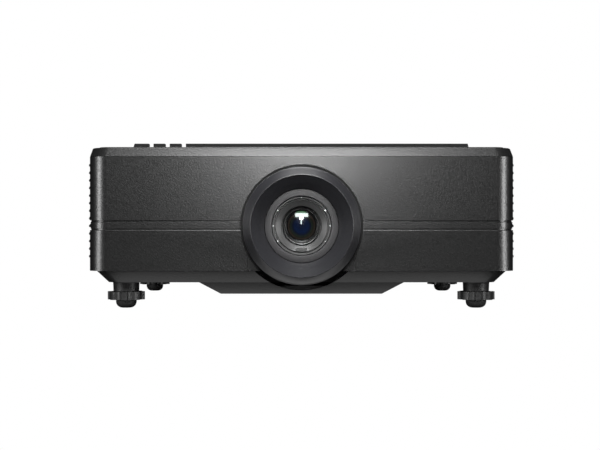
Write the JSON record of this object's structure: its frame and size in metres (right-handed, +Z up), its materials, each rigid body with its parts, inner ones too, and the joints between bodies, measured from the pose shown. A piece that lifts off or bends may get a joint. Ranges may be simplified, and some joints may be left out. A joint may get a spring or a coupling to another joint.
{
  "type": "video projector",
  "caption": "Black installation projector with a centred shiftable lens, louvred sides and screw feet.",
  "frame": {"origin": "on the table, under the middle of the object's overall box, with the feet screwed in", "axes": "+Z up; the lens and front face look along -Y; +X is the viewer's right when looking at the front"},
  "size_m": [0.4908, 0.5322, 0.192],
  "materials": {
    "case_black": "satin, fine moulded grain",
    "pan_black": "matt, fine moulded grain",
    "louvre_black": "matt",
    "lens_satin": "satin",
    "barrel_grey": "anodised, fine turned",
    "coated_glass": "polished, coated",
    "foot_black": "matt",
    "foot_rubber": "matt",
    "cast_aluminium": "cast, tumbled",
    "sheet_steel": "plated",
    "board_green": "solder resist",
    "fan_black": "matt",
    "socket_steel": "plated",
    "socket_black": "matt",
    "key_grey": "matt",
    "wheel_yellow": "matt phosphor coat"
  },
  "bodies": {
    "case": {"bottom_pan": "pan_black", "front_bezel": "case_black", "lens_lower_trim": "case_black", "top_cover": "case_black", "top_ridge": "louvre_black", "left_side_cover": "louvre_black", "right_side_cover": "louvre_black", "rear_panel": "case_black", "shift_base": "cast_aluminium", "vertical_shift_motor": "sheet_steel", "engine_housing": "cast_aluminium", "prism": "coated_glass", "imager_board": "board_green", "imager_heatsink": "cast_aluminium", "laser_module": "sheet_steel", "laser_heatsink": "cast_aluminium", "phosphor_motor": "sheet_steel", "exhaust_fan_frame": "fan_black", "intake_fan_frame": "fan_black", "main_board": "board_green", "power_supply": "sheet_steel", "hdmi_socket_a": "socket_steel", "hdmi_socket_b": "socket_steel", "network_socket": "socket_steel", "usb_socket": "socket_steel", "ac_inlet": "socket_black", "keypad_plate": "pan_black"},
    "carriage": {"vertical_carriage": "cast_aluminium", "horizontal_shift_motor": "sheet_steel"},
    "lens": {"lens_surround_ring": "lens_satin", "lens_barrel": "barrel_grey", "lens_mount_plate": "cast_aluminium", "focus_motor": "sheet_steel", "zoom_motor": "sheet_steel"},
    "focus_ring": {"focus_ring_gear": "fan_black"},
    "focus_cell": {"focus_lens_cell": "barrel_grey", "front_glass": "coated_glass"},
    "zoom_ring": {"zoom_ring_gear": "fan_black"},
    "zoom_cell": {"zoom_lens_cell": "barrel_grey", "zoom_glass": "coated_glass"},
    "phosphor_wheel": {"phosphor_wheel": "wheel_yellow"},
    "exhaust_fan": {"exhaust_fan_rotor": "fan_black"},
    "intake_fan": {"intake_fan_rotor": "fan_black"},
    "power_rocker": {"power_rocker": "socket_black"},
    "foot_front_left": {"foot_pad_front_left": "foot_rubber"},
    "knob_front_left": {"foot_knob_front_left": "foot_black"},
    "foot_front_right": {"foot_pad_front_right": "foot_rubber"},
    "knob_front_right": {"foot_knob_front_right": "foot_black"},
    "foot_rear_left": {"foot_pad_rear_left": "foot_rubber"},
    "knob_rear_left": {"foot_knob_rear_left": "foot_black"},
    "foot_rear_right": {"foot_pad_rear_right": "foot_rubber"},
    "knob_rear_right": {"foot_knob_rear_right": "foot_black"},
    "power_key": {"power_button": "key_grey"},
    "menu_key": {"menu_button": "key_grey"},
    "source_key": {"source_button": "key_grey"},
    "up_key": {"up_button": "key_grey"},
    "down_key": {"down_button": "key_grey"},
    "left_key": {"left_button": "key_grey"},
    "right_key": {"right_button": "key_grey"},
    "enter_key": {"enter_button": "key_grey"}
  },
  "joints": [
    {"name": "foot_slide_front_left", "type": "slide", "parent": "case", "child": "foot_front_left", "axis": [0, 0, -1], "range_m": [0, 0.015]},
    {"name": "foot_turn_front_left", "type": "hinge", "parent": "foot_front_left", "child": "knob_front_left", "pos_m": [-0.2045, -0.18715, 0.0096], "axis": [0, 0, 1], "range_deg": [0, 2160]},
    {"name": "foot_slide_front_right", "type": "slide", "parent": "case", "child": "foot_front_right", "axis": [0, 0, -1], "range_m": [0, 0.015]},
    {"name": "foot_turn_front_right", "type": "hinge", "parent": "foot_front_right", "child": "knob_front_right", "pos_m": [0.2045, -0.18715, 0.0096], "axis": [0, 0, 1], "range_deg": [0, 2160]},
    {"name": "foot_slide_rear_left", "type": "slide", "parent": "case", "child": "foot_rear_left", "axis": [0, 0, -1], "range_m": [0, 0.015]},
    {"name": "foot_turn_rear_left", "type": "hinge", "parent": "foot_rear_left", "child": "knob_rear_left", "pos_m": [-0.21, 0.20285, 0.0096], "axis": [0, 0, 1], "range_deg": [0, 2160]},
    {"name": "foot_slide_rear_right", "type": "slide", "parent": "case", "child": "foot_rear_right", "axis": [0, 0, -1], "range_m": [0, 0.015]},
    {"name": "foot_turn_rear_right", "type": "hinge", "parent": "foot_rear_right", "child": "knob_rear_right", "pos_m": [0.21, 0.20285, 0.0096], "axis": [0, 0, 1], "range_deg": [0, 2160]},
    {"name": "lens_shift_vertical", "type": "slide", "parent": "case", "child": "carriage", "axis": [0, 0, 1], "range_m": [-0.006, 0.006]},
    {"name": "lens_shift_horizontal", "type": "slide", "parent": "carriage", "child": "lens", "axis": [1, 0, 0], "range_m": [-0.008, 0.008]},
    {"name": "focus_ring_turn", "type": "hinge", "parent": "lens", "child": "focus_ring", "pos_m": [0, -0.21215, 0.0955], "axis": [0, 1, 0], "range_deg": [-60, 60]},
    {"name": "focus_cell_slide", "type": "slide", "parent": "lens", "child": "focus_cell", "axis": [0, -1, 0], "range_m": [-0.003, 0.003]},
    {"name": "zoom_ring_turn", "type": "hinge", "parent": "lens", "child": "zoom_ring", "pos_m": [0, -0.18615, 0.0955], "axis": [0, 1, 0], "range_deg": [-45, 45]},
    {"name": "zoom_cell_slide", "type": "slide", "parent": "lens", "child": "zoom_cell", "axis": [0, -1, 0], "range_m": [-0.01, 0.01]},
    {"name": "phosphor_wheel_spin", "type": "hinge", "parent": "case", "child": "phosphor_wheel", "pos_m": [0.072, -0.04725, 0.0955], "axis": [0, 1, 0], "continuous": true},
    {"name": "exhaust_fan_spin", "type": "hinge", "parent": "case", "child": "exhaust_fan", "pos_m": [0.2262, -0.05825, 0.0955], "axis": [1, 0, 0], "continuous": true},
    {"name": "intake_fan_spin", "type": "hinge", "parent": "case", "child": "intake_fan", "pos_m": [-0.2262, -0.05825, 0.0955], "axis": [1, 0, 0], "continuous": true},
    {"name": "power_rocker_tilt", "type": "hinge", "parent": "case", "child": "power_rocker", "pos_m": [-0.128, 0.25485, 0.0882], "axis": [1, 0, 0], "range_deg": [-8, 8]},
    {"name": "power_button_press", "type": "slide", "parent": "case", "child": "power_key", "axis": [0, -1, 0], "range_m": [0, 0.001], "stiffness_N_per_m": 800, "springref_m": -0.0006},
    {"name": "menu_button_press", "type": "slide", "parent": "case", "child": "menu_key", "axis": [0, -1, 0], "range_m": [0, 0.001], "stiffness_N_per_m": 800, "springref_m": -0.0006},
    {"name": "source_button_press", "type": "slide", "parent": "case", "child": "source_key", "axis": [0, -1, 0], "range_m": [0, 0.001], "stiffness_N_per_m": 800, "springref_m": -0.0006},
    {"name": "up_button_press", "type": "slide", "parent": "case", "child": "up_key", "axis": [0, -1, 0], "range_m": [0, 0.001], "stiffness_N_per_m": 800, "springref_m": -0.0006},
    {"name": "down_button_press", "type": "slide", "parent": "case", "child": "down_key", "axis": [0, -1, 0], "range_m": [0, 0.001], "stiffness_N_per_m": 800, "springref_m": -0.0006},
    {"name": "left_button_press", "type": "slide", "parent": "case", "child": "left_key", "axis": [0, -1, 0], "range_m": [0, 0.001], "stiffness_N_per_m": 800, "springref_m": -0.0006},
    {"name": "right_button_press", "type": "slide", "parent": "case", "child": "right_key", "axis": [0, -1, 0], "range_m": [0, 0.001], "stiffness_N_per_m": 800, "springref_m": -0.0006},
    {"name": "enter_button_press", "type": "slide", "parent": "case", "child": "enter_key", "axis": [0, -1, 0], "range_m": [0, 0.001], "stiffness_N_per_m": 800, "springref_m": -0.0006}
  ],
  "couplings": [
    {"joint": "foot_turn_front_left", "follows": "foot_slide_front_left", "rad_per_m": 2513.2},
    {"joint": "foot_turn_front_right", "follows": "foot_slide_front_right", "rad_per_m": 2513.2},
    {"joint": "foot_turn_rear_left", "follows": "foot_slide_rear_left", "rad_per_m": 2513.2},
    {"joint": "foot_turn_rear_right", "follows": "foot_slide_rear_right", "rad_per_m": 2513.2},
    {"joint": "focus_ring_turn", "follows": "focus_cell_slide", "rad_per_m": 349},
    {"joint": "zoom_ring_turn", "follows": "zoom_cell_slide", "rad_per_m": 78.5}
  ]
}
